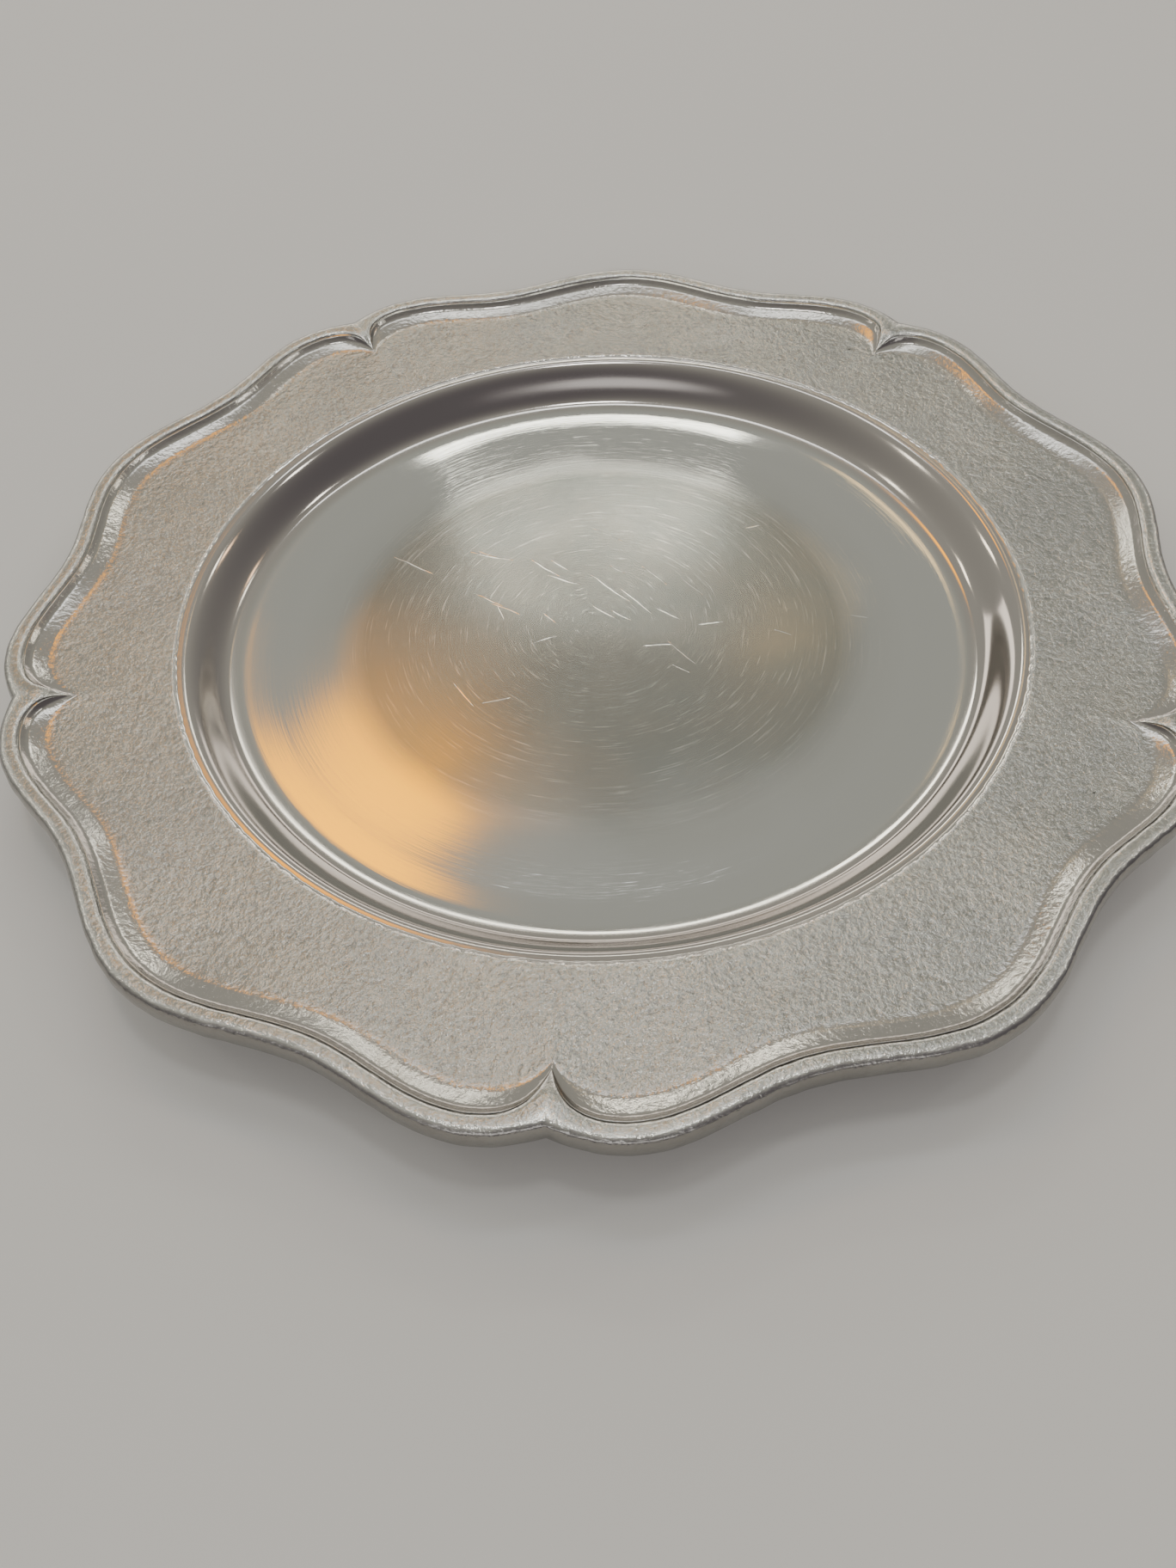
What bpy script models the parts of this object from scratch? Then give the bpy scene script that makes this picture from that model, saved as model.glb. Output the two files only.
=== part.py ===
# Cast metal offering plate, one casting: a round flat-bottomed well, a wide flat rim, and a
# raised moulded edge whose outline runs in five double-curved lobes with a small pointed
# notch between each two.
# Metres, +Z up. The origin is on the plate's axis, on the flat face that it rests on.

import math

import bpy
import numpy as np

# Plan of the edge. A place along a lobe is 0 at a notch and 0.5 at the middle of the lobe.
LOBES = 5
NOTCH_RADIUS = 0.1193
SHOULDER_RADIUS = 0.1220
WAIST_RADIUS = 0.1166
LOBE_RADIUS = 0.1225
EDGE_RADIUS = 0.1200  # the mean of the plan, which the turned profile is drawn to
SHOULDER_PLACE = 0.085
WAIST_PLACE = 0.28
NOTCH_ANGLE = -math.pi / 2  # one notch points at -Y

# Heights above the face that the plate rests on.
HEIGHT = 0.0163
RIM_HEIGHT = 0.0113  # at the lip of the well
RIM_SLOPE = 0.079  # by which the rim rises outwards from the lip
FLOOR_HEIGHT = 0.0028

# The well.
FLAT_FLOOR_RADIUS = 0.0700
FLOOR_RADIUS = 0.0797
FLOOR_RISE = 0.00078  # by which the floor turns up towards the wall
FLOOR_END_SLOPE = 0.27
WALL_TOP_RADIUS = 0.0880
WALL_TOP_DROP = 0.0008  # by which the wall starts below the rim
WALL_TOP_SLOPE = 0.17
LIP_RADIUS = 0.0890
BASE_TURN_SLOPE = 0.45  # of the outside where it turns in under the floor
BASE_RADIUS = 0.0740

# The moulding, as distances in from the edge.
BAND_WIDTH = 0.0031
QUIRK_DEPTH = 0.0003  # the shallow groove between the band and its inner arris
COVE_FOOT = 0.0130
COVE_POWER = 4.0  # above 1, the cove stays shallow at its foot and is steep at the arris
RIM_BLEND = 0.0240  # where the rim stops following the lobes
ROUND_EDGE = 0.0011  # how far the rounded side stands out past the edge's top line
EDGE_THICKNESS = 0.0052

# The spine: at a notch the band runs inwards as a narrow ridge that sinks into the rim.
SPINE_LENGTH = 0.0084
SPINE_WIDTH = 0.0022
SPINE_FOOT_LENGTH = 0.0016
SPINE_FOOT_WIDTH = 0.0042
SPINE_SINK_START = 0.0040
SPINE_SINK_END = 0.0118

METAL = 0.0028  # wall thickness of the casting
COLUMNS_PER_LOBE = 24
COLUMN_CROWDING = 1.6  # above 1, columns crowd towards the notches
WALL_STEPS = 7
COVE_STEPS = 6
SIDE_STEPS = 5


def clear_scene():
    for obj in list(bpy.data.objects):
        bpy.data.objects.remove(obj, do_unlink=True)


def ease(value):
    # 0 to 1 with level ends.
    clipped = np.clip(value, 0.0, 1.0)
    return clipped * clipped * (3.0 - 2.0 * clipped)


def half_wave(place, place_a, place_b, radius_a, radius_b):
    # A level-ended swing from one radius to the next.
    part = (place - place_a) / (place_b - place_a)
    return radius_a + (radius_b - radius_a) * (1.0 - np.cos(math.pi * part)) / 2.0


def place_along_lobe(angle):
    turned = (angle - NOTCH_ANGLE) * LOBES / (2.0 * math.pi) % 1.0
    return np.minimum(turned, 1.0 - turned)


def crowd_columns(angle):
    # Evenly spaced angles, drawn towards the nearest notch.
    turned = (angle - NOTCH_ANGLE) * LOBES / (2.0 * math.pi)
    nearest = np.round(turned)
    offset = 2.0 * (turned - nearest)
    crowded = np.sign(offset) * np.abs(offset) ** COLUMN_CROWDING / 2.0
    return NOTCH_ANGLE + (nearest + crowded) * 2.0 * math.pi / LOBES


def plan_radius(angle):
    # Notch to shoulder as a quarter wave, so the notch is a point; then two level-ended swings.
    place = place_along_lobe(angle)
    rise = np.sin(np.minimum(place / SHOULDER_PLACE, 1.0) * math.pi / 2.0)
    notch = NOTCH_RADIUS + (SHOULDER_RADIUS - NOTCH_RADIUS) * rise
    shoulder = half_wave(place, SHOULDER_PLACE, WAIST_PLACE, SHOULDER_RADIUS, WAIST_RADIUS)
    lobe = half_wave(place, WAIST_PLACE, 0.5, WAIST_RADIUS, LOBE_RADIUS)
    return np.where(place < SHOULDER_PLACE, notch, np.where(place < WAIST_PLACE, shoulder, lobe))


def hermite(start, start_slope, end, end_slope, steps):
    # A cubic between two points of the profile, leaving and arriving at the given slopes.
    run = end[0] - start[0]
    points = []
    for step in range(steps + 1):
        t = step / steps
        height = (2 * t**3 - 3 * t**2 + 1) * start[1] + (3 * t**2 - 2 * t**3) * end[1]
        height += (t**3 - 2 * t**2 + t) * run * start_slope + (t**3 - t**2) * run * end_slope
        points.append((start[0] + run * t, height))
    return points


def offset_line(points, distance):
    # The same line moved below itself by the metal's thickness.
    line = np.array(points)
    along = np.gradient(line, axis=0)
    along /= np.hypot(along[:, 0], along[:, 1])[:, None]
    below = np.stack([along[:, 1], -along[:, 0]], axis=1)
    return [tuple(point) for point in line + below * distance]


def rim_height(radius):
    # The rim is a very shallow cone.
    return RIM_HEIGHT + RIM_SLOPE * (radius - LIP_RADIUS)


def cove_height(inset):
    # The moulding's inner side: it leaves the rim's cone gently and is steepest at the arris.
    part = np.clip((COVE_FOOT - inset) / (COVE_FOOT - BAND_WIDTH), 0.0, 1.0)
    rise = HEIGHT - rim_height(EDGE_RADIUS - BAND_WIDTH)
    return rim_height(EDGE_RADIUS - inset) + rise * part**COVE_POWER


def top_profile():
    wall_foot = (FLOOR_RADIUS, FLOOR_HEIGHT + FLOOR_RISE)
    wall_top = (WALL_TOP_RADIUS, RIM_HEIGHT - WALL_TOP_DROP)
    points = [(0.0, FLOOR_HEIGHT)]
    points += hermite((FLAT_FLOOR_RADIUS, FLOOR_HEIGHT), 0.0, wall_foot, FLOOR_END_SLOPE, 2)
    points += hermite(wall_foot, FLOOR_END_SLOPE, wall_top, WALL_TOP_SLOPE, WALL_STEPS)[1:]
    points.append((LIP_RADIUS, RIM_HEIGHT))
    points.append((EDGE_RADIUS - RIM_BLEND, rim_height(EDGE_RADIUS - RIM_BLEND)))
    for inset in np.linspace(COVE_FOOT, BAND_WIDTH, COVE_STEPS + 1):
        points.append((EDGE_RADIUS - inset, cove_height(inset)))
    points.append((EDGE_RADIUS - 0.8 * BAND_WIDTH, HEIGHT - QUIRK_DEPTH))
    points.append((EDGE_RADIUS - 0.4 * BAND_WIDTH, HEIGHT - QUIRK_DEPTH / 2.0))
    return points


def side_profile():
    # The rounded side: a half ellipse from the edge's top line down to its underside.
    points = []
    for step in range(SIDE_STEPS + 1):
        turn = math.pi * step / SIDE_STEPS
        out = ROUND_EDGE * math.sin(turn)
        down = EDGE_THICKNESS * (1.0 - math.cos(turn)) / 2.0
        points.append((EDGE_RADIUS + out, HEIGHT - down))
    return points


def under_profile():
    wall_foot = (FLOOR_RADIUS, FLOOR_HEIGHT + FLOOR_RISE)
    wall_top = (WALL_TOP_RADIUS, RIM_HEIGHT - WALL_TOP_DROP)
    wall = hermite(wall_foot, FLOOR_END_SLOPE, wall_top, WALL_TOP_SLOPE, WALL_STEPS)
    outer_wall = offset_line(wall, METAL)
    hollow_top = (EDGE_RADIUS - BAND_WIDTH, HEIGHT - EDGE_THICKNESS)
    hollow_foot = (EDGE_RADIUS - COVE_FOOT, rim_height(EDGE_RADIUS - COVE_FOOT) - METAL)
    rim_foot = LIP_RADIUS + METAL / 2.0
    points = hermite(hollow_top, 0.0, hollow_foot, RIM_SLOPE, 3)
    points.append((EDGE_RADIUS - RIM_BLEND, rim_height(EDGE_RADIUS - RIM_BLEND) - METAL))
    points.append((rim_foot, rim_height(rim_foot) - METAL))
    points += reversed(outer_wall[2:])
    points += hermite(outer_wall[1], BASE_TURN_SLOPE, (BASE_RADIUS, 0.0), 0.0, 3)
    points.append((0.0, 0.0))
    return points


def turned_blank(name, profile, collection):
    # The profile turned once round Z, as a plain mesh.
    outline = bpy.data.meshes.new(name + "_profile")
    vertices = [(radius, 0.0, height) for radius, height in profile]
    outline.from_pydata(vertices, [(i, i + 1) for i in range(len(vertices) - 1)], [])
    turned = bpy.data.objects.new(name + "_profile", outline)
    collection.objects.link(turned)
    screw = turned.modifiers.new("turn", "SCREW")
    screw.axis = "Z"
    screw.steps = LOBES * COLUMNS_PER_LOBE
    screw.render_steps = screw.steps
    screw.use_merge_vertices = True
    screw.merge_threshold = 0.0001
    graph = bpy.context.evaluated_depsgraph_get()
    mesh = bpy.data.meshes.new_from_object(turned.evaluated_get(graph))
    mesh.name = name
    bpy.data.objects.remove(turned, do_unlink=True)
    bpy.data.meshes.remove(outline)
    return mesh


def follow_lobes(mesh):
    # Moves the turned rim out and in with the plan, and draws the band inwards at each notch.
    points = np.empty(len(mesh.vertices) * 3, np.float32)
    mesh.vertices.foreach_get("co", points)
    points = points.reshape(-1, 3).astype(float)
    radius = np.hypot(points[:, 0], points[:, 1])
    angle = crowd_columns(np.arctan2(points[:, 1], points[:, 0]))
    inset = EDGE_RADIUS - radius

    follow = ease(1.0 - (inset - COVE_FOOT) / (RIM_BLEND - COVE_FOOT))
    new_radius = radius + follow * (plan_radius(angle) - EDGE_RADIUS)

    # Arc length from the nearest notch sets how far the band and the cove's foot run inwards.
    arc = place_along_lobe(angle) * 2.0 * math.pi / LOBES * NOTCH_RADIUS
    spine = SPINE_LENGTH * np.exp(-arc / SPINE_WIDTH)
    spine_foot = SPINE_FOOT_LENGTH * np.exp(-arc / SPINE_FOOT_WIDTH)
    in_band = np.clip(inset / BAND_WIDTH, 0.0, 1.0)
    in_cove = np.clip((inset - BAND_WIDTH) / (COVE_FOOT - BAND_WIDTH), 0.0, 1.0)
    in_rim = np.clip((inset - COVE_FOOT) / (RIM_BLEND - COVE_FOOT), 0.0, 1.0)
    inwards = in_band * (spine * (1.0 - in_cove) + spine_foot * in_cove) * (1.0 - in_rim)
    on_top = (points[:, 2] > cove_height(inset) - METAL / 2.0) & (inset > 0.0)
    new_radius -= np.where(on_top, inwards, 0.0)

    # The ridge follows the rim's cone down and sinks into it as it runs in.
    sunk = ease((inset + inwards - SPINE_SINK_START) / (SPINE_SINK_END - SPINE_SINK_START))
    at_notch = np.exp(-arc / SPINE_WIDTH)
    above_rim = np.maximum(points[:, 2] - rim_height(radius), 0.0)
    lowering = RIM_SLOPE * inwards + above_rim * sunk * at_notch
    height = points[:, 2] - np.where(on_top, lowering, 0.0)

    moved = np.stack([new_radius * np.cos(angle), new_radius * np.sin(angle), height], axis=1)
    mesh.vertices.foreach_set("co", moved.astype(np.float32).ravel())
    mesh.update()


def cast_metal():
    material = bpy.data.materials.new("cast_metal")
    material.use_nodes = True
    shader = material.node_tree.nodes["Principled BSDF"]
    shader.inputs["Base Color"].default_value = (0.47, 0.455, 0.425, 1.0)
    shader.inputs["Metallic"].default_value = 1.0
    shader.inputs["Roughness"].default_value = 0.38
    return material


def make_plate(collection):
    profile = top_profile() + side_profile() + under_profile()
    mesh = turned_blank("plate", profile, collection)
    follow_lobes(mesh)
    mesh.shade_smooth()
    mesh.set_sharp_from_angle(angle=math.radians(30.0))
    mesh.materials.append(cast_metal())
    plate = bpy.data.objects.new("plate", mesh)
    collection.objects.link(plate)
    return plate


def main():
    clear_scene()
    collection = bpy.data.collections.new("offering_plate")
    bpy.context.scene.collection.children.link(collection)
    make_plate(collection)


main()
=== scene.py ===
# The finished look of a cast metal offering plate: its fine surface, its metal wear, painted
# highlights and painted shade, and a plain studio around it. Metres, +Z up; the plate stands on z =
# 0 and one notch of its edge points to -Y.
import math

import bpy
import numpy as np
from mathutils import Matrix, Vector


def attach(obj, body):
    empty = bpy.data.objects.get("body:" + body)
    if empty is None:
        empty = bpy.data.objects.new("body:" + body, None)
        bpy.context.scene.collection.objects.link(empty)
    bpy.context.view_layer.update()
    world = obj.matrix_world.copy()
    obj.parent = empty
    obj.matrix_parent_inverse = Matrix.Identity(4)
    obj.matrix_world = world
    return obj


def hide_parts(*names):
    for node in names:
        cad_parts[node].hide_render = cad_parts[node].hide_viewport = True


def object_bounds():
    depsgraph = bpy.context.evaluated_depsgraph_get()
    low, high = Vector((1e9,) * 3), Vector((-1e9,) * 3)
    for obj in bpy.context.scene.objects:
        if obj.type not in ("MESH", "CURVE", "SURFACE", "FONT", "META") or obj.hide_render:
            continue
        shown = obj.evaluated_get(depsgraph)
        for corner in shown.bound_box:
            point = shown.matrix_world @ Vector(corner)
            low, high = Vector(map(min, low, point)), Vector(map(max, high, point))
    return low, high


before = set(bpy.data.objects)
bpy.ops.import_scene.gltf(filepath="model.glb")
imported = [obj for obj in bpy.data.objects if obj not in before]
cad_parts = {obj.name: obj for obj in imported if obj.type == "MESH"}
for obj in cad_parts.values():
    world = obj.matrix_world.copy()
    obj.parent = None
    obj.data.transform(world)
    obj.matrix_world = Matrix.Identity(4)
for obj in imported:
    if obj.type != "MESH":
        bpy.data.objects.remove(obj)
cadLow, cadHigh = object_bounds()
print("frame loaded, plate height", round(cadHigh.z, 4))


def ease(value):
    # A smooth step: three squares less two cubes of the value held between 0 and 1.
    held = np.clip(value, 0.0, 1.0)
    return held * held * (3.0 - 2.0 * held)


def between(value, low, high):
    # Eased from 0 at low to 1 at high, or falling where high is less than low.
    return ease((value - low) / (high - low))


def bell(value, centre, width):
    # A Gaussian hump of height 1.
    return np.exp(-(((value - centre) / width) ** 2))


def cubicRun(start, startSlope, end, endSlope, steps):
    # A cubic between two points of a profile that leaves and arrives at the given slopes.
    t = np.linspace(0.0, 1.0, steps + 1)
    run = end[0] - start[0]
    height = (2 * t**3 - 3 * t**2 + 1) * start[1] + (3 * t**2 - 2 * t**3) * end[1]
    height += (t**3 - 2 * t**2 + t) * run * startSlope + (t**3 - t**2) * run * endSlope
    return np.stack([start[0] + run * t, height], axis=1)


def ripple(angle, lowest, highest, falloff, seed):
    # A closed wander round the plate: a sum of cosines of whole harmonics with seeded phases,
    # each divided by its harmonic to the power falloff, scaled to a spread of 1.
    draw = np.random.default_rng(seed)
    harmonics = np.arange(lowest, highest + 1)
    phases = draw.uniform(0.0, 2.0 * math.pi, len(harmonics))
    sizes = draw.normal(0.0, 1.0, len(harmonics)) / harmonics**falloff
    waves = np.cos(np.outer(angle.ravel(), harmonics) + phases) @ sizes
    return (waves / math.sqrt(0.5 * np.sum(sizes**2))).reshape(angle.shape)


def swell(x, y, wavelength, seed, count=24):
    # A gentle random relief: plane waves in seeded directions, about one wavelength long,
    # summed and scaled to a spread of 1.
    draw = np.random.default_rng(seed)
    total = np.zeros_like(x)
    for _ in range(count):
        heading = draw.uniform(0.0, math.pi)
        rate = 2.0 * math.pi / (wavelength * draw.uniform(0.7, 1.6))
        phase = draw.uniform(0.0, 2.0 * math.pi)
        total += np.cos(rate * (x * math.cos(heading) + y * math.sin(heading)) + phase)
    return total / math.sqrt(count / 2.0)


plate = {
    # plan of the edge; a place along a lobe is 0 at a notch and 0.5 at the lobe's middle
    "lobes": 5,
    "notchRadius": 0.1193,
    "shoulderRadius": 0.1220,
    "waistRadius": 0.1166,
    "lobeRadius": 0.1225,
    "edgeRadius": 0.1200,
    "shoulderPlace": 0.085,
    "waistPlace": 0.28,
    "notchAngle": -math.pi / 2,
    # heights over the face it stands on
    "height": cadHigh.z - 0.00003,
    "rimHeight": 0.0113,
    "rimSlope": 0.066,
    "rimSlopeGain": 1.30,
    "floorHeight": 0.0028,
    # the well
    "flatFloorRadius": 0.0700,
    "bevelRadius": 0.0753,
    "bevelRise": 0.00014,
    "bevelSlope": 0.042,
    "floorRadius": 0.0797,
    "floorRise": 0.00078,
    "floorEndSlope": 0.27,
    "wallTopRadius": 0.0876,
    "wallTopDrop": 0.00027,
    "wallTopSlope": 0.13,
    "lipRadius": 0.0890,
    "baseTurnSlope": 0.45,
    "baseRadius": 0.0740,
    # the moulding, as distances in from the edge
    "bandWidth": 0.0025,
    "hollowInset": 0.00125,
    "hollowDepth": 0.00008,
    "hollowWidth": 0.00060,
    "bandCrown": 0.00014,
    "bandFall": 0.12,
    "arrisRound": 0.00050,
    "coveFoot": 0.0110,
    "coveTurn": 0.0060,
    "coveSlope": 0.19,
    "riserFoot": 0.0047,
    "riserTurn": 0.0038,
    "riserSlope": 0.62,
    "rimBlend": 0.0240,
    "roundEdge": 0.0011,
    "edgeThickness": 0.0052,
    # the ridge that runs in from each notch
    "spineLength": 0.0070,
    "spineWidth": 0.0022,
    "spineFootLength": 0.0016,
    "spineFootWidth": 0.0042,
    "spineSinkStart": 0.0040,
    "spineSinkEnd": 0.0100,
    "spineFollow": 0.5,
    "metal": 0.0028,
    # hand finishing
    "edgeWander": 0.00009,
    "edgeRipple": 0.00004,
    "lipWander": 0.00005,
    "keepInside": 0.00040,
    "rimSwell": 0.00004,
    "floorSwell": 0.000022,
    "rimSwellLength": 0.026,
    "floorSwellLength": 0.034,
    # fineness of the grid
    "columnsPerLobe": 154,
    "columnCrowding": 1.4,
}


def placeAlongLobe(angle):
    turned = (angle - plate["notchAngle"]) * plate["lobes"] / (2.0 * math.pi) % 1.0
    return np.minimum(turned, 1.0 - turned)


def planRadius(angle):
    # A quarter wave from notch to shoulder, so the notch is a point, then two level-ended swings
    # in to the waist and out to the lobe.
    place = placeAlongLobe(angle)
    shoulderAt, waistAt = plate["shoulderPlace"], plate["waistPlace"]
    notch, shoulder = plate["notchRadius"], plate["shoulderRadius"]
    waist, lobe = plate["waistRadius"], plate["lobeRadius"]
    rise = np.sin(np.minimum(place / shoulderAt, 1.0) * math.pi / 2.0)
    first = notch + (shoulder - notch) * rise
    inPart = (1.0 - np.cos(math.pi * (place - shoulderAt) / (waistAt - shoulderAt))) / 2.0
    outPart = (1.0 - np.cos(math.pi * (place - waistAt) / (0.5 - waistAt))) / 2.0
    second = shoulder + (waist - shoulder) * inPart
    third = waist + (lobe - waist) * outPart
    return np.where(place < shoulderAt, first, np.where(place < waistAt, second, third))


def rimHeight(radius):
    # The rim rises outwards from the lip at a slope that grows evenly with the distance.
    out = radius - plate["lipRadius"]
    return plate["rimHeight"] + plate["rimSlope"] * out + 0.5 * plate["rimSlopeGain"] * out**2


def easedRun(value, low, high):
    # The running total of a smooth step from low to high: the cube less half the fourth power
    # of the share of the way, times the span, then one for one beyond it.
    span = abs(high - low)
    share = (value - low) / (high - low)
    held = np.clip(share, 0.0, 1.0)
    return span * (held**3 - 0.5 * held**4 + np.maximum(share - 1.0, 0.0))


def coveHeight(inset):
    # The rim's height plus two slopes that ease in one after the other: the cove and the riser.
    cove = plate["coveSlope"] * easedRun(inset, plate["coveFoot"], plate["coveTurn"])
    riser = plate["riserSlope"] * easedRun(inset, plate["riserFoot"], plate["riserTurn"])
    return rimHeight(plate["edgeRadius"] - inset) + cove + riser


def topProfile():
    # Centre of the floor to the outer edge: floor, its bevelled border, wall, ledge, lip, rim,
    # cove, arris and band, as rows of radius and height.
    floorFoot = (plate["flatFloorRadius"], plate["floorHeight"])
    wallFoot = (plate["floorRadius"], plate["floorHeight"] + plate["floorRise"])
    wallTop = (plate["wallTopRadius"], plate["rimHeight"] - plate["wallTopDrop"])
    lip, rim = plate["lipRadius"], plate["rimHeight"]
    floor = np.array([(r, plate["floorHeight"]) for r in np.linspace(0.006, 0.0660, 9)])
    bevel = (plate["bevelRadius"], plate["floorHeight"] + plate["bevelRise"])
    border = np.concatenate([
        cubicRun(floorFoot, 0.0, bevel, plate["bevelSlope"], 6),
        cubicRun(bevel, plate["bevelSlope"], wallFoot, plate["floorEndSlope"], 7)[1:],
    ])
    wall = cubicRun(wallFoot, plate["floorEndSlope"], wallTop, plate["wallTopSlope"], 18)[1:]
    ledge = np.array([
        (lip - 0.00090, rim - 0.00022),
        (lip - 0.00050, rim - 0.00020),
        (lip - 0.00034, rim - 0.00018),
        (lip - 0.00016, rim - 0.00012),
        (lip, rim - 0.00006),
        (lip + 0.00018, rim - 0.00002),
        (lip + 0.00042, rim + 0.00002),
        (lip + 0.00070, rim + 0.00005),
        (lip + 0.00130, rimHeight(lip + 0.00130)),
    ])
    rimRadii = np.linspace(lip + 0.0032, plate["edgeRadius"] - plate["coveFoot"], 7)
    rimRows = np.stack([rimRadii, rimHeight(rimRadii)], axis=1)
    coveInsets = plate["bandWidth"] + (plate["coveFoot"] - plate["bandWidth"]) * np.linspace(
        1.0, 0.055, 19) ** 1.1
    cove = np.stack([plate["edgeRadius"] - coveInsets, coveHeight(coveInsets)], axis=1)[1:]
    bandInsets = np.concatenate([
        np.linspace(plate["bandWidth"] + 0.00042, plate["bandWidth"] - 0.00042, 7),
        np.array([0.00190, 0.00160, 0.00130, 0.00100, 0.00070, 0.00042, 0.00018]),
    ])
    band = np.stack([plate["edgeRadius"] - bandInsets, bandHeight(bandInsets)], axis=1)
    return np.concatenate([floor, border, wall, ledge, rimRows, cove, band])


def bandHeight(inset):
    # A low crown with a shallow hollow along it, joined to the cove's line by a smooth minimum,
    # which rounds the arris.
    width = plate["bandWidth"]
    crown = plate["height"] - plate["bandCrown"] * ((inset - 0.5 * width) / (0.5 * width)) ** 2
    crown -= plate["hollowDepth"] * bell(inset, plate["hollowInset"], plate["hollowWidth"])
    crown -= plate["bandFall"] * np.maximum(inset - 0.4 * width, 0.0)
    cove = coveHeight(inset)
    soft = plate["arrisRound"]
    gap = np.clip((soft - np.abs(crown - cove)) / soft, 0.0, 1.0)
    return np.minimum(np.minimum(crown, cove) - soft * gap**2 / 4.0, plate["height"])


def sideProfile():
    # A flattened half ellipse from the band's outer line down to the underside.
    turn = np.linspace(0.0, math.pi, 13)[1:]
    start = bandHeight(np.array([0.0]))[0]
    out = plate["roundEdge"] * np.sin(turn) ** 0.8
    down = (start - plate["height"] + plate["edgeThickness"]) * (1.0 - np.cos(turn)) / 2.0
    return np.stack([plate["edgeRadius"] + out, start - down], axis=1)


def underProfile():
    # Edge to centre: the hollow behind the moulding, the rim's back, the wall's back and the base.
    metal, edge = plate["metal"], plate["edgeRadius"]
    wallFoot = (plate["floorRadius"], plate["floorHeight"] + plate["floorRise"])
    wallTop = (plate["wallTopRadius"], plate["rimHeight"] - plate["wallTopDrop"])
    wall = cubicRun(wallFoot, plate["floorEndSlope"], wallTop, plate["wallTopSlope"], 9)
    along = np.gradient(wall, axis=0)
    along /= np.hypot(along[:, 0], along[:, 1])[:, None]
    outer = wall + np.stack([along[:, 1], -along[:, 0]], axis=1) * metal
    hollowTop = (edge - plate["bandWidth"], plate["height"] - plate["edgeThickness"])
    footRadius = edge - plate["coveFoot"]
    hollowFoot = (footRadius, rimHeight(footRadius) - metal)
    hollow = cubicRun(hollowTop, 0.0, hollowFoot, plate["rimSlope"], 6)
    rimRadii = np.array([edge - 0.5 * (plate["coveFoot"] + plate["rimBlend"]),
                         edge - plate["rimBlend"], plate["lipRadius"] + metal / 2.0])
    rimBack = np.stack([rimRadii, rimHeight(rimRadii) - metal], axis=1)
    turnIn = cubicRun(outer[1], plate["baseTurnSlope"], (plate["baseRadius"], 0.0), 0.0, 5)
    base = np.array([(0.0725, 0.0), (0.050, 0.0), (0.020, 0.0)])
    return np.concatenate([hollow, rimBack, outer[:1:-1], turnIn, base])


def columnAngles():
    # Even angles, drawn towards the nearest notch by a power of their offset from it.
    count = plate["lobes"] * plate["columnsPerLobe"]
    turned = np.arange(count) / plate["columnsPerLobe"]
    nearest = np.round(turned)
    offset = 2.0 * (turned - nearest)
    crowded = np.sign(offset) * np.abs(offset) ** plate["columnCrowding"] / 2.0
    return plate["notchAngle"] + (nearest + crowded) * 2.0 * math.pi / plate["lobes"]


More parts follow.
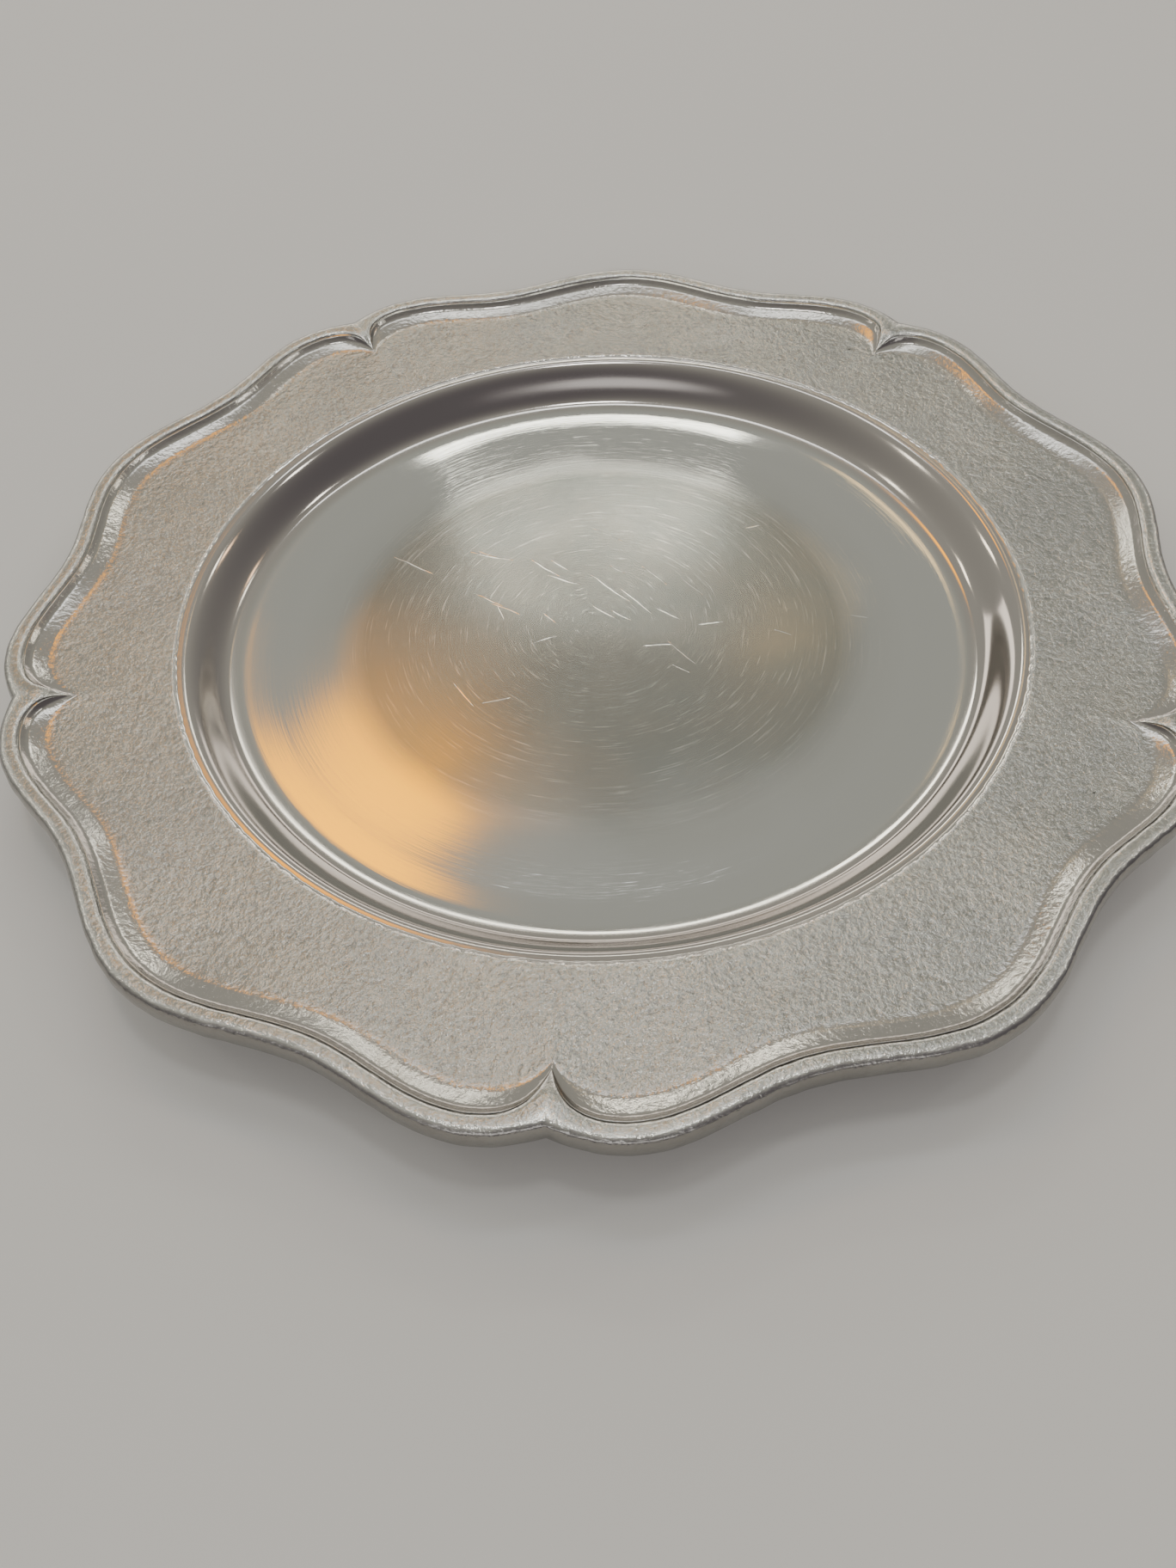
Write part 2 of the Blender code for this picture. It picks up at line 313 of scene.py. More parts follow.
def plateSurface():
    # The profile turned round Z as a grid; the rim is then moved out and in with the plan, the
    # band is drawn inwards at each notch and sinks, and hand finishing is added.
    top = topProfile()
    profile = np.concatenate([top, sideProfile(), underProfile()])
    angle, radius = np.meshgrid(columnAngles(), profile[:, 0])
    height = np.broadcast_to(profile[:, 1:2], radius.shape).copy()
    onTop = (np.arange(len(profile)) < len(top))[:, None]
    inset = plate["edgeRadius"] - radius
    coveFoot, rimBlend, band = plate["coveFoot"], plate["rimBlend"], plate["bandWidth"]

    outward = ease(1.0 - (inset - coveFoot) / (rimBlend - coveFoot))
    wander = plate["edgeWander"] * ripple(angle, 2, 14, 0.4, 11)
    wander += plate["edgeRipple"] * ripple(angle, 30, 160, 0.3, 12) * between(inset, 0.006, 0.0)
    shift = planRadius(angle) - plate["edgeRadius"] + wander - plate["keepInside"]
    newRadius = radius + outward * shift

    arc = placeAlongLobe(angle) * 2.0 * math.pi / plate["lobes"] * plate["notchRadius"]
    spine = plate["spineLength"] * np.exp(-arc / plate["spineWidth"])
    spineFoot = plate["spineFootLength"] * np.exp(-arc / plate["spineFootWidth"])
    inBand = np.clip(inset / band, 0.0, 1.0)
    inCove = np.clip((inset - band) / (coveFoot - band), 0.0, 1.0)
    inRim = np.clip((inset - coveFoot) / (rimBlend - coveFoot), 0.0, 1.0)
    inwards = inBand * (spine * (1.0 - inCove) + spineFoot * inCove) * (1.0 - inRim) * onTop
    newRadius -= inwards
    sinkSpan = plate["spineSinkEnd"] - plate["spineSinkStart"]
    sunk = ease((inset + inwards - plate["spineSinkStart"]) / sinkSpan)
    aboveRim = np.maximum(height - rimHeight(np.maximum(radius, plate["lipRadius"])), 0.0)
    atNotch = np.exp(-arc / plate["spineWidth"])
    followed = plate["rimSlope"] * plate["spineFollow"] * inwards
    height -= onTop * (followed + aboveRim * sunk * atNotch)

    lipPart = bell(radius, plate["lipRadius"], 0.0007) * onTop
    newRadius += lipPart * plate["lipWander"] * ripple(angle, 40, 260, 0.2, 13)
    x, y = newRadius * np.cos(angle), newRadius * np.sin(angle)
    rimPart = between(radius, 0.0885, 0.0950) * between(inset, 0.0005, 0.0060) * onTop
    height += rimPart * plate["rimSwell"] * swell(x, y, plate["rimSwellLength"], 21)
    floorPart = between(radius, 0.0860, 0.0700) * between(radius, 0.002, 0.012) * onTop
    height += floorPart * plate["floorSwell"] * swell(x, y, plate["floorSwellLength"], 22)
    return np.stack([x, y, height], axis=2), radius, inset, angle, onTop


zones = {
    # where each finish fades, as the two radii of a smooth step
    "borderStart": (0.0500, 0.0620),
    "wallStart": (0.0765, 0.0800),
    "wallEnd": (0.0892, 0.0888),
    "rimStart": (0.0889, 0.0895),
    # and as two distances in from the edge
    "rimEnd": (0.0072, 0.0096),
    "coveEnd": (0.0026, 0.0032),
    "bandStart": (0.0030, 0.0024),
    "sideStart": (0.0004, -0.0002),
    # how strong a finish, a painted highlight or a painted shade is on each part
    "coveGrain": 0.22,
    "bandGrain": 0.8,
    "underGrain": 0.6,
    "covePolish": 0.62,
    "arrisHighlight": 0.8,
    "edgeHighlight": 0.55,
    "riserShade": 0.15,
    "ledgeShade": 0.20,
    "sideShade": 0.35,
}


def zoneMasks(radius, inset, angle, onTop):
    # How much of each finish, painted highlight and painted shade a point has, from its place on
    # the profile.
    under = 1.0 - onTop * np.ones_like(radius)
    side = between(inset, *zones["sideStart"]) ** 2
    rim = between(radius, *zones["rimStart"]) * between(inset, *zones["rimEnd"])
    cove = between(inset, *zones["rimEnd"][::-1]) * between(inset, *zones["coveEnd"])
    band = between(inset, *zones["bandStart"])
    wall = between(radius, *zones["wallStart"]) * between(radius, *zones["wallEnd"])
    border = between(radius, *zones["borderStart"])
    border = border * between(radius, *zones["wallStart"][::-1])
    turned = between(radius, *zones["borderStart"][::-1])
    grain = onTop * (rim + zones["coveGrain"] * cove + zones["bandGrain"] * band)
    grain = np.clip(grain + under * zones["underGrain"], 0.0, 1.0)
    polish = np.clip(onTop * (wall + zones["covePolish"] * cove), 0.0, 1.0)
    # Painted highlights: bright bands along the arris and the lip, and along the outer edge, whose
    # metal is also worn bright in patches.
    arris = bell(inset, plate["bandWidth"] - 0.00015, 0.00026)
    outerEdge = bell(inset, 0.00025, 0.00042)
    lip = bell(radius, plate["lipRadius"] + 0.00022, 0.00028)
    patchy = 0.5 + 0.5 * np.tanh(0.9 * ripple(angle, 6, 90, 0.4, 31))
    wornEdgeAndHighlight = outerEdge * (zones["edgeHighlight"] + (1.0 - zones["edgeHighlight"]) * patchy)
    highlightAndWear = np.clip(onTop * (lip + zones["arrisHighlight"] * arris) + wornEdgeAndHighlight, 0.0, 1.0)
    # Painted shade: the riser below the arris, the small ledge inside the lip and the outer side of
    # the edge are darkened.
    riserMiddle = 0.5 * (plate["riserTurn"] + plate["bandWidth"]) + 0.0002
    riser = bell(inset, riserMiddle, 0.00055)
    ledge = bell(radius, plate["lipRadius"] - 0.00042, 0.00016)
    paintedShade = onTop * (zones["riserShade"] * riser + zones["ledgeShade"] * ledge)
    paintedShade = np.clip(paintedShade + zones["sideShade"] * side, 0.0, 1.0)
    return {"grain": grain, "polish": polish, "highlightAndWear": highlightAndWear, "paintedShade": paintedShade,
            "turned": onTop * turned, "border": onTop * border, "under": under}


def closedTurning(name, grid, masks):
    # A mesh from a grid that closes round the axis, with a pole at each end of its rows.
    rows, columns = grid.shape[:2]
    number = np.arange(rows * columns).reshape(rows, columns)
    here, after = number[:-1], number[1:]
    quads = np.stack([here, after, np.roll(after, -1, 1), np.roll(here, -1, 1)], axis=2)
    topPole, basePole = rows * columns, rows * columns + 1
    first, last = number[0], number[-1]
    topFan = np.stack([np.full(columns, topPole), first, np.roll(first, -1)], axis=1)
    baseFan = np.stack([last, np.full(columns, basePole), np.roll(last, -1)], axis=1)
    poles = np.array([(0.0, 0.0, grid[0, :, 2].mean()), (0.0, 0.0, grid[-1, :, 2].mean())])
    points = np.concatenate([grid.reshape(-1, 3), poles])
    faces = quads.reshape(-1, 4).tolist() + topFan.tolist() + baseFan.tolist()
    mesh = bpy.data.meshes.new(name)
    mesh.from_pydata(points.tolist(), [], faces)
    for maskName, values in masks.items():
        ends = [values[0].mean(), values[-1].mean()]
        layer = mesh.attributes.new(maskName, "FLOAT", "POINT")
        layer.data.foreach_set("value", np.append(values.ravel(), ends).astype(np.float32))
    mesh.shade_smooth()
    mesh.update()
    return mesh


def addNode(tree, kind, inputs=None, **options):
    # A node with its options set and its inputs linked or given values.
    made = tree.nodes.new(kind)
    for key, value in options.items():
        setattr(made, key, value)
    for key, value in (inputs or {}).items():
        if isinstance(value, bpy.types.NodeSocket):
            tree.links.new(value, made.inputs[key])
        else:
            made.inputs[key].default_value = value
    return made


def calc(tree, operation, *values, clamp=False):
    return addNode(tree, "ShaderNodeMath", dict(enumerate(values)), operation=operation,
                   use_clamp=clamp).outputs[0]


def vectorCalc(tree, operation, *values):
    made = addNode(tree, "ShaderNodeVectorMath", dict(enumerate(values)), operation=operation)
    return made.outputs["Value"] if operation in ("LENGTH", "DOT_PRODUCT") else made.outputs[0]


def mapRange(tree, value, low, high, toLow=0.0, toHigh=1.0):
    made = addNode(tree, "ShaderNodeMapRange", {"Value": value, "From Min": low, "From Max": high,
                   "To Min": toLow, "To Max": toHigh}, interpolation_type="SMOOTHSTEP")
    return made.outputs["Result"]


def mixColour(tree, factor, first, second):
    made = tree.nodes.new("ShaderNodeMix")
    made.data_type = "RGBA"
    for socket, value in zip((made.inputs[0], made.inputs[6], made.inputs[7]),
                             (factor, first, second)):
        if isinstance(value, bpy.types.NodeSocket):
            tree.links.new(value, socket)
        else:
            socket.default_value = value
    return made.outputs[2]


def noise(tree, coordinates, scale, detail=2.0, roughness=0.5):
    made = addNode(tree, "ShaderNodeTexNoise", {"Vector": coordinates, "Scale": scale,
                   "Detail": detail, "Roughness": roughness})
    return made.outputs["Fac"]


def newGroup(name, inputs, outputs):
    # An empty shader node group; inputs and outputs map each name to a socket type and value.
    tree = bpy.data.node_groups.new(name, "ShaderNodeTree")
    for direction, sockets in (("INPUT", inputs), ("OUTPUT", outputs)):
        for socketName, (kind, value) in sockets.items():
            made = tree.interface.new_socket(name=socketName, in_out=direction, socket_type=kind)
            if value is not None:
                made.default_value = value
    return tree, tree.nodes.new("NodeGroupInput").outputs, tree.nodes.new("NodeGroupOutput").inputs


def placeGroup(tree, group, inputs):
    return addNode(tree, "ShaderNodeGroup", inputs, node_tree=group).outputs


floatSocket, vectorSocket = "NodeSocketFloat", "NodeSocketVector"


def castGrainGroup():
    # Sand-cast grain: fine noise plus coarser noise, and a mask of its deeper pits.
    tree, given, out = newGroup(
        "castGrain",
        {"Coordinates": (vectorSocket, None), "Grain Size": (floatSocket, 0.0006)},
        {"Height": (floatSocket, None), "Pits": (floatSocket, None)})
    rate = calc(tree, "DIVIDE", 1.0, given["Grain Size"])
    fine = noise(tree, given["Coordinates"], rate, 3.0, 0.6)
    coarse = noise(tree, given["Coordinates"], calc(tree, "MULTIPLY", rate, 0.42), 1.0)
    blend = calc(tree, "ADD", calc(tree, "MULTIPLY", fine, 0.6),
                 calc(tree, "MULTIPLY", coarse, 0.4))
    tree.links.new(blend, out["Height"])
    tree.links.new(mapRange(tree, blend, 0.50, 0.36), out["Pits"])
    return tree


def turningGroup():
    # Lathe marks: noise read at (x, y over the radius, radius), so that it is long round the
    # axis and fine across it; the mask is the brighter lines.
    tree, given, out = newGroup(
        "turningMarks",
        {"Coordinates": (vectorSocket, None), "Spacing": (floatSocket, 0.0005),
         "Run": (floatSocket, 3.0)},
        {"Height": (floatSocket, None), "Lines": (floatSocket, None)})
    flat = vectorCalc(tree, "MULTIPLY", given["Coordinates"], (1.0, 1.0, 0.0))
    radius = vectorCalc(tree, "LENGTH", flat)
    heading = addNode(tree, "ShaderNodeVectorMath", {0: vectorCalc(tree, "NORMALIZE", flat),
                      "Scale": given["Run"]}, operation="SCALE").outputs[0]
    across = calc(tree, "DIVIDE", radius, given["Spacing"])
    depth = addNode(tree, "ShaderNodeCombineXYZ", {"Z": across}).outputs[0]
    marks = noise(tree, vectorCalc(tree, "ADD", heading, depth), 1.0, 3.0, 0.65)
    tree.links.new(marks, out["Height"])
    tree.links.new(mapRange(tree, marks, 0.56, 0.74), out["Lines"])
    return tree


def scratchGroup():
    # One hairline scratch: how near a point is to the line from Start along Reach, less towards
    # its ends. Trace carries the point in x and y and the strongest scratch so far in z.
    tree, given, out = newGroup(
        "hairlineScratch",
        {"Trace": (vectorSocket, None), "Start": (vectorSocket, None),
         "Reach": (vectorSocket, None), "Width": (floatSocket, 0.0001)},
        {"Trace": (vectorSocket, None)})
    reach = given["Reach"]
    trace = addNode(tree, "ShaderNodeSeparateXYZ", {"Vector": given["Trace"]}).outputs
    point = addNode(tree, "ShaderNodeCombineXYZ", {"X": trace["X"], "Y": trace["Y"]}).outputs[0]
    offset = vectorCalc(tree, "SUBTRACT", point, given["Start"])
    share = calc(tree, "DIVIDE", vectorCalc(tree, "DOT_PRODUCT", offset, reach),
                 vectorCalc(tree, "DOT_PRODUCT", reach, reach), clamp=True)
    along = addNode(tree, "ShaderNodeVectorMath", {0: reach, "Scale": share}, operation="SCALE")
    away = vectorCalc(tree, "LENGTH", vectorCalc(tree, "SUBTRACT", offset, along.outputs[0]))
    middle = calc(tree, "SINE", calc(tree, "MULTIPLY", share, math.pi))
    swath = calc(tree, "MULTIPLY", given["Width"], calc(tree, "ADD", 0.35, middle))
    near = calc(tree, "SUBTRACT", 1.0, calc(tree, "DIVIDE", away, swath), clamp=True)
    strongest = calc(tree, "MAXIMUM", near, trace["Z"])
    made = addNode(tree, "ShaderNodeCombineXYZ", {"X": trace["X"], "Y": trace["Y"],
                   "Z": strongest})
    tree.links.new(made.outputs[0], out["Trace"])
    return tree


def scratchesGroup():
    # All of the floor's scratches one after another, on coordinates slightly bent by noise.
    tree, given, out = newGroup("floorScratches", {"Coordinates": (vectorSocket, None)},
                                {"Mask": (floatSocket, None)})
    flat = vectorCalc(tree, "MULTIPLY", given["Coordinates"], (1.0, 1.0, 0.0))
    bend = addNode(tree, "ShaderNodeTexNoise", {"Vector": flat, "Scale": 160.0, "Detail": 1.0})
    shift = vectorCalc(tree, "MULTIPLY", vectorCalc(tree, "SUBTRACT", bend.outputs["Color"],
                       (0.5, 0.5, 0.5)), (0.0012, 0.0012, 0.0))
    trace = vectorCalc(tree, "ADD", flat, shift)
    single = scratchGroup()
    for x, y, length, heading, width in scratchLines():
        reachX, reachY = length * math.cos(heading), length * math.sin(heading)
        start = (x - 0.5 * reachX, y - 0.5 * reachY, 0.0)
        trace = placeGroup(tree, single, {"Trace": trace, "Width": width, "Start": start,
                           "Reach": (reachX, reachY, 0.0)})["Trace"]
    strongest = addNode(tree, "ShaderNodeSeparateXYZ", {"Vector": trace}).outputs["Z"]
    tree.links.new(strongest, out["Mask"])
    return tree


def wearGroup():
    # Slow mottling from years of handling and polishing, and sparse dark specks.
    tree, given, out = newGroup(
        "handlingWear",
        {"Coordinates": (vectorSocket, None), "Patch Size": (floatSocket, 0.03),
         "Speck Size": (floatSocket, 0.0005)},
        {"Mottle": (floatSocket, None), "Cloud": (floatSocket, None),
         "Specks": (floatSocket, None)})
    rate = calc(tree, "DIVIDE", 1.0, given["Patch Size"])
    mottle = noise(tree, given["Coordinates"], rate, 5.0, 0.62)
    cloud = noise(tree, given["Coordinates"], calc(tree, "MULTIPLY", rate, 0.45), 2.0)
    cells = addNode(tree, "ShaderNodeTexVoronoi", {"Vector": given["Coordinates"], "Scale": 85.0})
    inSpeck = calc(tree, "LESS_THAN", calc(tree, "DIVIDE", cells.outputs["Distance"], 85.0),
                   given["Speck Size"])
    chosen = addNode(tree, "ShaderNodeSeparateColor", {"Color": cells.outputs["Color"]})
    specks = calc(tree, "MULTIPLY", inSpeck, calc(tree, "GREATER_THAN", chosen.outputs[0], 0.86))
    tree.links.new(mapRange(tree, mottle, 0.30, 0.70), out["Mottle"])
    tree.links.new(mapRange(tree, cloud, 0.35, 0.65), out["Cloud"])
    tree.links.new(specks, out["Specks"])
    return tree


metal = {
    "rimColour": (0.355, 0.355, 0.335, 1.0),
    "warmColour": (0.40, 0.39, 0.352, 1.0),
    "turnedColour": (0.255, 0.264, 0.248, 1.0),
    "stainColour": (0.28, 0.275, 0.25, 1.0),
    "borderColour": (0.50, 0.505, 0.485, 1.0),
    "wallColour": (0.42, 0.395, 0.37, 1.0),
    # Bright colour of the painted highlights and worn edges, of the scratches' painted glint and of
    # the turning lines.
    "brightColour": (0.90, 0.89, 0.84, 1.0),
    # Dark colour of painted shade, and of the grain's pits and the specks.
    "shadeAndDirtColour": (0.11, 0.10, 0.09, 1.0),
    "underColour": (0.40, 0.39, 0.37, 1.0),
    # share of each mark's colour
    "pitShade": 0.16,
    "speckShade": 0.8,
    "highlightAndWearShare": 0.8,
    "turningShade": 0.25,
    "grainSize": 0.00090,
    "grainDepth": 0.00040,
    "turningSpacing": 0.00045,
    "turningDepth": 0.000010,
    "turningRun": 4.0,
    "patchSize": 0.022,
    "speckSize": 0.00028,
    "scratchDepth": 0.000008,
    "rimRoughness": 0.185,
    "wallRoughness": 0.15,
    "borderRoughness": 0.08,
    "floorRoughness": 0.23,
    "leastRoughness": 0.06,
    # what each mark adds to the roughness
    "cloudRoughness": -0.06,
    "scratchRoughness": -0.12,
    "highlightAndWearRoughness": -0.14,
    "paintedShadeRoughness": 0.25,
    # scratches near the middle of the floor: middle x, middle y, length, heading in degrees
    "scratches": [
        (-0.0262, 0.0215, 0.0105, -16), (-0.0135, 0.0178, 0.0085, -38),
        (-0.0102, 0.0190, 0.0050, -40), (-0.0090, 0.0140, 0.0080, -20),
        (0.0015, 0.0115, 0.0120, -42), (0.0075, 0.0075, 0.0105, -48),
        (0.0005, 0.0040, 0.0060, -35), (0.0045, 0.0030, 0.0050, -35), (0.0145, 0.0040, 0.0060, -30),
        (0.0240, 0.0010, 0.0050, 8), (0.0130, -0.0060, 0.0060, 4), (-0.0440, 0.0180, 0.0110, -30),
        (0.0560, 0.0040, 0.0035, -12), (0.0335, 0.0330, 0.0035, 20), (-0.0200, -0.0230, 0.0060, 15),
    ],
    "scratchWidth": 0.00019,
    "faintScratches": 14,
}


def scratchLines():
    # The chosen scratches, then faint ones scattered about the middle with seeded places.
    draw = np.random.default_rng(41)
    lines = [(x, y, length, math.radians(heading), metal["scratchWidth"])
             for x, y, length, heading in metal["scratches"]]
    for _ in range(metal["faintScratches"]):
        x, y = draw.normal(0.0, 0.020), draw.normal(0.002, 0.018)
        heading = math.radians(draw.normal(-28.0, 32.0))
        lines.append((x, y, draw.uniform(0.003, 0.009), heading, 0.55 * metal["scratchWidth"]))
    return lines


def castMetal():
    # Zone masks choose between grainy rim, polished wall, satin border and turned floor, and lay
    # painted highlights and painted shade on the colour.
    material = bpy.data.materials.new("castMetal")
    material.use_nodes = True
    tree = material.node_tree
    shader = tree.nodes["Principled BSDF"]
    coordinates = addNode(tree, "ShaderNodeTexCoord").outputs["Object"]
    zone = {name: addNode(tree, "ShaderNodeAttribute", attribute_name=name).outputs["Fac"]
            for name in ("grain", "polish", "highlightAndWear", "paintedShade", "turned", "border", "under")}

    grain = placeGroup(tree, castGrainGroup(), {"Coordinates": coordinates,
                       "Grain Size": metal["grainSize"]})
    turning = placeGroup(tree, turningGroup(), {"Coordinates": coordinates,
                         "Spacing": metal["turningSpacing"], "Run": metal["turningRun"]})
    wear = placeGroup(tree, wearGroup(), {"Coordinates": coordinates,
                      "Patch Size": metal["patchSize"], "Speck Size": metal["speckSize"]})
    scratched = placeGroup(tree, scratchesGroup(), {"Coordinates": coordinates})["Mask"]
    onFloor = calc(tree, "MAXIMUM", zone["turned"], zone["border"])
    scratched = calc(tree, "MULTIPLY", scratched, onFloor)

    colour = mixColour(tree, wear["Mottle"], metal["rimColour"], metal["warmColour"])
    turned = mixColour(tree, wear["Mottle"], metal["turnedColour"], metal["stainColour"])
    colour = mixColour(tree, zone["turned"], colour, turned)
    colour = mixColour(tree, zone["border"], colour, metal["borderColour"])
    colour = mixColour(tree, zone["polish"], colour, metal["wallColour"])
    colour = mixColour(tree, zone["under"], colour, metal["underColour"])
    pits = calc(tree, "MULTIPLY", grain["Pits"], zone["grain"])
    pitShade = calc(tree, "MULTIPLY", pits, metal["pitShade"])
    colour = mixColour(tree, pitShade, colour, metal["shadeAndDirtColour"])
    # Painted shade on the riser, the ledge and the outer side, varied by the mottle.
    patches = mapRange(tree, wear["Mottle"], 0.0, 1.0, 0.5, 0.9)
    paintedShadeAmount = calc(tree, "MULTIPLY", zone["paintedShade"], patches)
    colour = mixColour(tree, paintedShadeAmount, colour, metal["shadeAndDirtColour"])
    speckShade = calc(tree, "MULTIPLY", wear["Specks"], metal["speckShade"])
    colour = mixColour(tree, speckShade, colour, metal["shadeAndDirtColour"])
    # Painted highlights on the lip and arris, and on the outer edge where it is also worn bright,
    # lighten the colour.
    highlightAndWearShare = calc(tree, "MULTIPLY", zone["highlightAndWear"], metal["highlightAndWearShare"])
    # The scratches are real marks; their lightening to the bright colour is a painted glint.
    bright = calc(tree, "MAXIMUM", highlightAndWearShare, scratched)
    lines = calc(tree, "MULTIPLY", turning["Lines"], zone["turned"])
    lines = calc(tree, "MULTIPLY", lines, metal["turningShade"])
    colour = mixColour(tree, calc(tree, "MAXIMUM", bright, lines), colour, metal["brightColour"])
    tree.links.new(colour, shader.inputs["Base Color"])

    clouded = calc(tree, "MULTIPLY", wear["Cloud"], metal["cloudRoughness"])
    rough = calc(tree, "ADD", metal["rimRoughness"], clouded)
    for name, finish in (("turned", "floorRoughness"), ("border", "borderRoughness"),
                         ("polish", "wallRoughness")):
        pull = calc(tree, "MULTIPLY", zone[name], metal[finish] - metal["rimRoughness"])
        rough = calc(tree, "ADD", rough, pull)
    for mark, change in ((scratched, "scratchRoughness"), (zone["highlightAndWear"], "highlightAndWearRoughness"),
                         (paintedShadeAmount, "paintedShadeRoughness")):
        rough = calc(tree, "ADD", rough, calc(tree, "MULTIPLY", mark, metal[change]))
    rough = calc(tree, "MAXIMUM", rough, metal["leastRoughness"])
    tree.links.new(rough, shader.inputs["Roughness"])
    shader.inputs["Metallic"].default_value = 1.0

    relief = calc(tree, "MULTIPLY", calc(tree, "MULTIPLY", grain["Height"], zone["grain"]),
                  metal["grainDepth"])
    marks = calc(tree, "MULTIPLY", calc(tree, "MULTIPLY", turning["Height"], onFloor),
                 metal["turningDepth"])
    cuts = calc(tree, "MULTIPLY", scratched, -metal["scratchDepth"])
    relief = calc(tree, "ADD", calc(tree, "ADD", relief, marks), cuts)
    bump = addNode(tree, "ShaderNodeBump", {"Height": relief, "Distance": 1.0, "Strength": 1.0})
    tree.links.new(bump.outputs["Normal"], shader.inputs["Normal"])
    return material


def makePlate():
    grid, radius, inset, angle, onTop = plateSurface()
    mesh = closedTurning("offeringPlate", grid, zoneMasks(radius, inset, angle, onTop))
    mesh.materials.append(castMetal())
    piece = bpy.data.objects.new("offeringPlate", mesh)
    bpy.context.scene.collection.objects.link(piece)
    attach(piece, "root")
    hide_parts("plate")
    print("plate surface made:", len(mesh.polygons), "faces")
    return piece


makePlate()


studio = {
    "floorHalf": 3.0,
    "floorColour": (0.84, 0.83, 0.80, 1.0),
    # the air's radiance away from and towards its brighter side, and where that side lies
    "dimAir": (0.205, 0.19, 0.20, 1.0),
    "brightAir": (0.63, 0.62, 0.56, 1.0),
    "brightAzimuth": -25,
    "brightElevation": 45,
    # a warm glow in the air: its middle, how far it is even and where it ends in degrees
    "glow": (5.6, 2.3, 0.04, 1.0),
    "glowAzimuth": -21,
    "glowElevation": 50,
    "glowEven": 0.5,
    "glowEnd": 5.4,
    "cameraPlace": (0.0190, -0.1915, 0.1910),
    "cameraDown": 51.74,
    "cameraHeading": 7.11,
    "cameraRoll": -3.89,
    "lens": 28.14,
    "lampDistance": 2.0,
    # each lamp: azimuth from +Y towards +X and elevation in degrees, width and height in
    # degrees as seen from the plate, radiance, colour
    "lamps": {
        "creamLamp": (-6, 39.4, 13, 2.4, 9.5, (1.0, 0.98, 0.86)),
        "orangeLamp": (7.5, 43.5, 4, 3, 2.0, (1.0, 0.66, 0.25)),
        "overheadLamp": (-8, 85, 6, 8, 14.0, (1.0, 1.0, 1.0)),
        "ceilingPanel": (-8, 63, 36, 5, 4.4, (0.95, 0.98, 1.0)),
        "horizonPanel": (-15, 9, 60, 8, 2.4, (1.0, 0.90, 0.80)),
        "farLeftLamp": (-79, 39, 5, 5, 10.0, (1.0, 0.94, 0.80)),
        "lowLeftLamp": (-53, 25, 6, 4, 8.0, (1.0, 0.90, 0.72)),
        "nearRightLamp": (40, 36, 4, 5, 8.0, (1.0, 0.95, 0.80)),
        "lowRightLamp": (49, 32, 5, 4, 6.0, (1.0, 0.66, 0.38)),
        "farRightLamp": (70, 47, 6, 5, 9.0, (1.0, 0.98, 0.90)),
        "fillPanel": (180, 32, 60, 24, 1.3, (1.0, 0.98, 0.96)),
    },
}


def paleFloorMaterial():
    material = bpy.data.materials.new("paleFloor")
    material.use_nodes = True
    tree = material.node_tree
    shader = tree.nodes["Principled BSDF"]
    coordinates = addNode(tree, "ShaderNodeTexCoord").outputs["Object"]
    cloud = noise(tree, coordinates, 6.0, 4.0)
    pale = studio["floorColour"]
    shade = (pale[0] * 0.95, pale[1] * 0.95, pale[2] * 0.95, 1.0)
    tree.links.new(mixColour(tree, cloud, pale, shade), shader.inputs["Base Color"])
    shader.inputs["Roughness"].default_value = 0.75
    return material


def makeFloor():
    # A flat square of four corners.
    half = studio["floorHalf"]
    corners = np.array([(-1, -1), (1, -1), (1, 1), (-1, 1)]) * half
    mesh = bpy.data.meshes.new("studioFloor")
    mesh.from_pydata([(x, y, 0.0) for x, y in corners], [], [(0, 1, 2, 3)])
    mesh.materials.append(paleFloorMaterial())
    floor = bpy.data.objects.new("studioFloor", mesh)
    bpy.context.scene.collection.objects.link(floor)


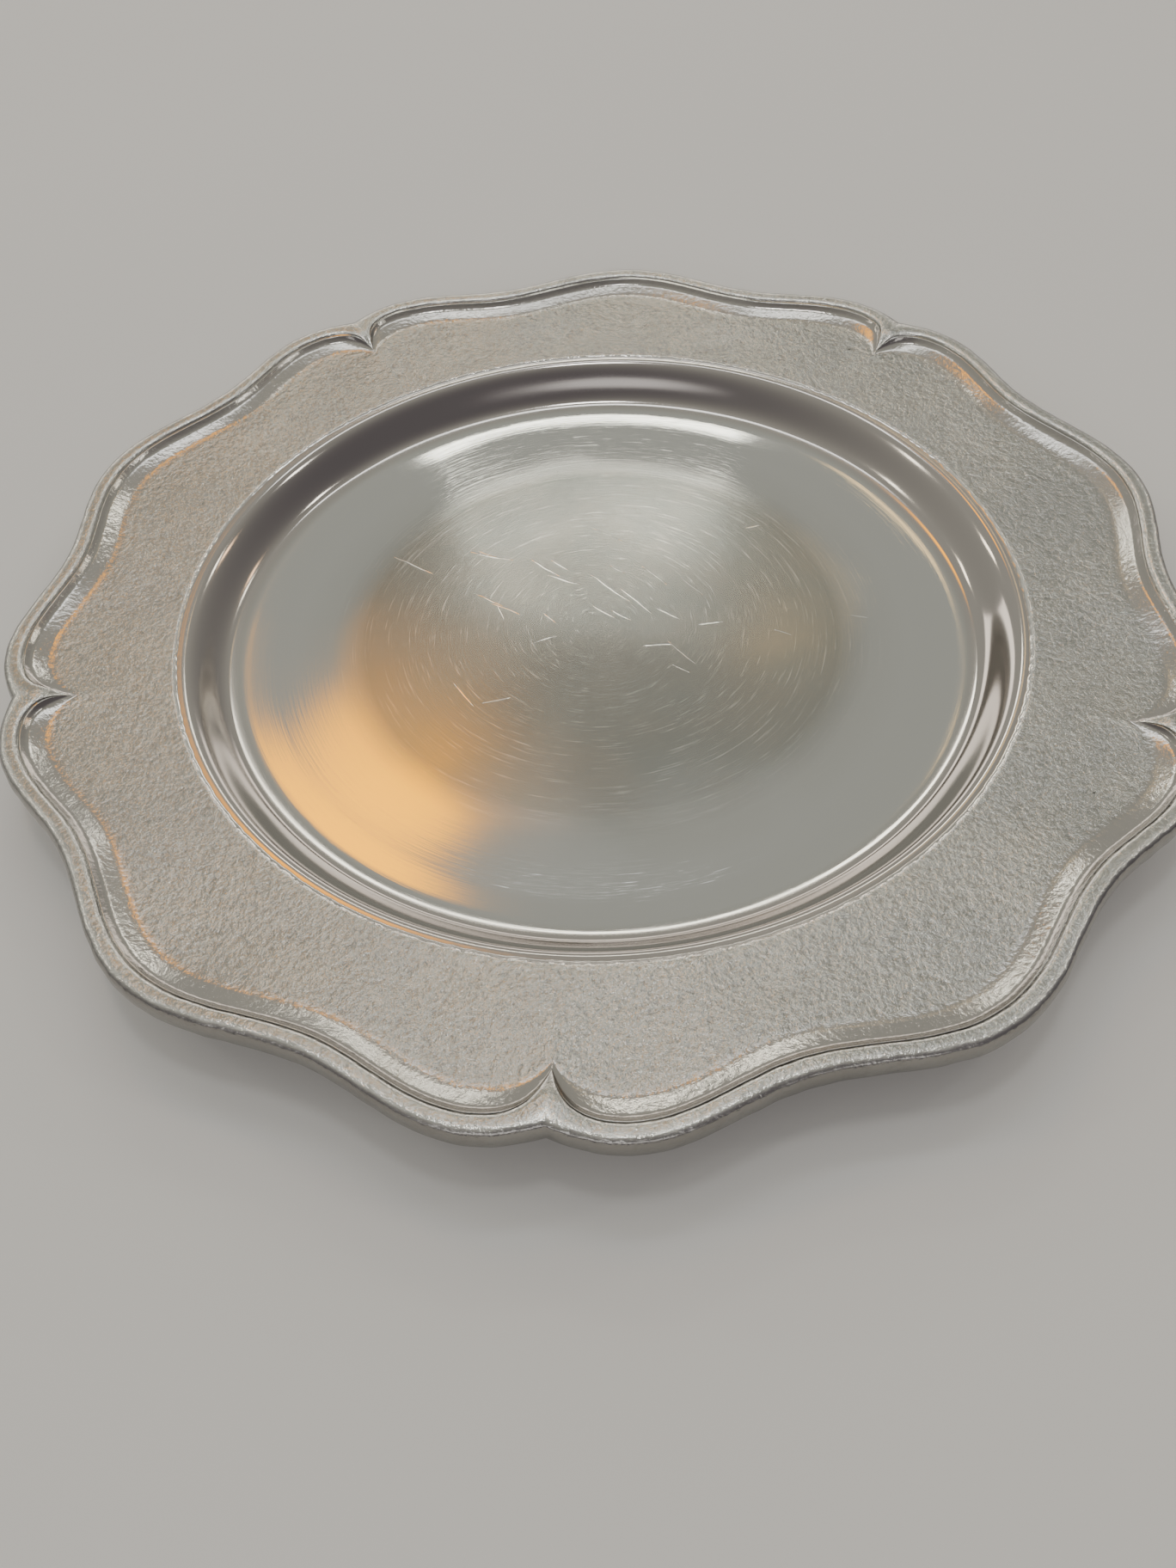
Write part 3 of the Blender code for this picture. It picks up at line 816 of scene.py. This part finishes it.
def makeLamps():
    # Each lamp is a soft rectangle at one distance, facing the plate; its power is radiance
    # times area times pi.
    distance = studio["lampDistance"]
    for name, (azimuth, elevation, wide, high, radiance, colour) in studio["lamps"].items():
        data = bpy.data.lights.new(name, "AREA")
        data.shape = "RECTANGLE"
        data.size = 2.0 * distance * math.tan(math.radians(wide) / 2.0)
        data.size_y = 2.0 * distance * math.tan(math.radians(high) / 2.0)
        data.energy = radiance * data.size * data.size_y * math.pi
        data.color = colour
        lamp = bpy.data.objects.new(name, data)
        bpy.context.scene.collection.objects.link(lamp)
        towards = direction(azimuth, elevation)
        lamp.location = towards * distance
        lamp.rotation_mode = "QUATERNION"
        lamp.rotation_quaternion = towards.to_track_quat("Z", "Y")


def direction(azimuth, elevation):
    # The unit vector of an azimuth from +Y towards +X and an elevation, both in degrees.
    turn, rise = math.radians(azimuth), math.radians(elevation)
    level = math.cos(rise)
    return Vector((math.sin(turn) * level, math.cos(turn) * level, math.sin(rise)))


def makeWorld():
    # Soft air, brighter round one direction: the cosine of the angle to it, eased into a blend.
    # The glow is a patch of it, by the same cosine to the glow's middle.
    world = bpy.data.worlds.new("studioAir")
    bpy.context.scene.world = world
    world.use_nodes = True
    tree = world.node_tree
    bright = direction(studio["brightAzimuth"], studio["brightElevation"])
    outwards = addNode(tree, "ShaderNodeTexCoord").outputs["Generated"]
    nearness = vectorCalc(tree, "DOT_PRODUCT", outwards, tuple(bright))
    blend = mapRange(tree, nearness, 0.0, 1.0)
    air = mixColour(tree, blend, studio["dimAir"], studio["brightAir"])
    glowMiddle = direction(studio["glowAzimuth"], studio["glowElevation"])
    glowNearness = vectorCalc(tree, "DOT_PRODUCT", outwards, tuple(glowMiddle))
    inGlow = mapRange(tree, glowNearness, math.cos(math.radians(studio["glowEnd"])),
                      math.cos(math.radians(studio["glowEven"])))
    lit = mixColour(tree, inGlow, air, studio["glow"])
    tree.links.new(lit, tree.nodes["Background"].inputs["Color"])


def makeCamera():
    data = bpy.data.cameras.new("viewer")
    data.lens = studio["lens"]
    data.clip_start = 0.01
    camera = bpy.data.objects.new("viewer", data)
    bpy.context.scene.collection.objects.link(camera)
    turn = Matrix.Rotation(math.radians(studio["cameraHeading"]), 4, "Z")
    tip = Matrix.Rotation(math.radians(90.0 - studio["cameraDown"]), 4, "X")
    roll = Matrix.Rotation(math.radians(studio["cameraRoll"]), 4, "Z")
    camera.matrix_world = Matrix.Translation(studio["cameraPlace"]) @ turn @ tip @ roll
    bpy.context.scene.camera = camera


makeFloor()
makeLamps()
makeWorld()
makeCamera()
print("studio ready")
